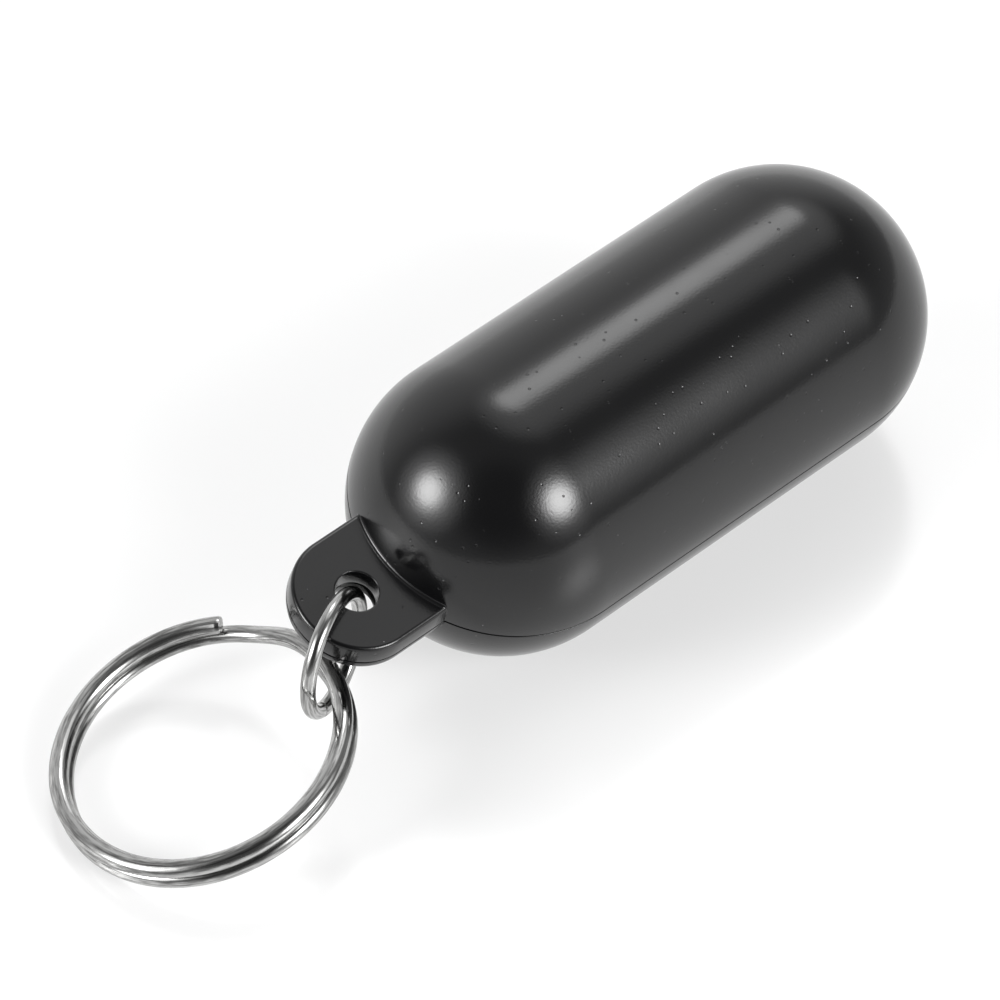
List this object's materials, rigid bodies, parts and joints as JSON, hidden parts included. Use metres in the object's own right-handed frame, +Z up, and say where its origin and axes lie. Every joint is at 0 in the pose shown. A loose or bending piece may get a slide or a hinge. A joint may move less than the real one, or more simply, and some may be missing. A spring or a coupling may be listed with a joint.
{
  "type": "floating keychain",
  "caption": "Round-ended hollow float in two shells, with a flat tab, a round link through the tab's hole and a double-coil split ring.",
  "frame": {"origin": "on the ground, under the middle of the whole object as it lies", "axes": "+X along the float's barrel, from the tab's end to the plain end; +Z up, with the float lying on its barrel and the split ring leaning on the ground"},
  "size_m": [0.1034, 0.0318, 0.03],
  "materials": {
    "black_plastic": "high-gloss moulded plastic with a faint orange peel",
    "bright_steel": "bright nickel plate over drawn steel wire, with fine scuffs"
  },
  "bodies": {
    "float": {"upper_shell": "black_plastic", "lower_shell": "black_plastic"},
    "link": {"link": "bright_steel"},
    "ring": {"split_ring": "bright_steel"}
  },
  "joints": [
    {"name": "link_swing", "type": "hinge", "parent": "float", "child": "link", "pos_m": [-0.02337, -0.00292, 0.01442], "axis": [-0.4067, 0.9135, 0], "range_deg": [-8, 105]},
    {"name": "ring_swing", "type": "hinge", "parent": "link", "child": "ring", "pos_m": [-0.02393, -0.00317, 0.00919], "axis": [0.3166, 0.9473, -0.0487], "range_deg": [-115, 60]}
  ]
}
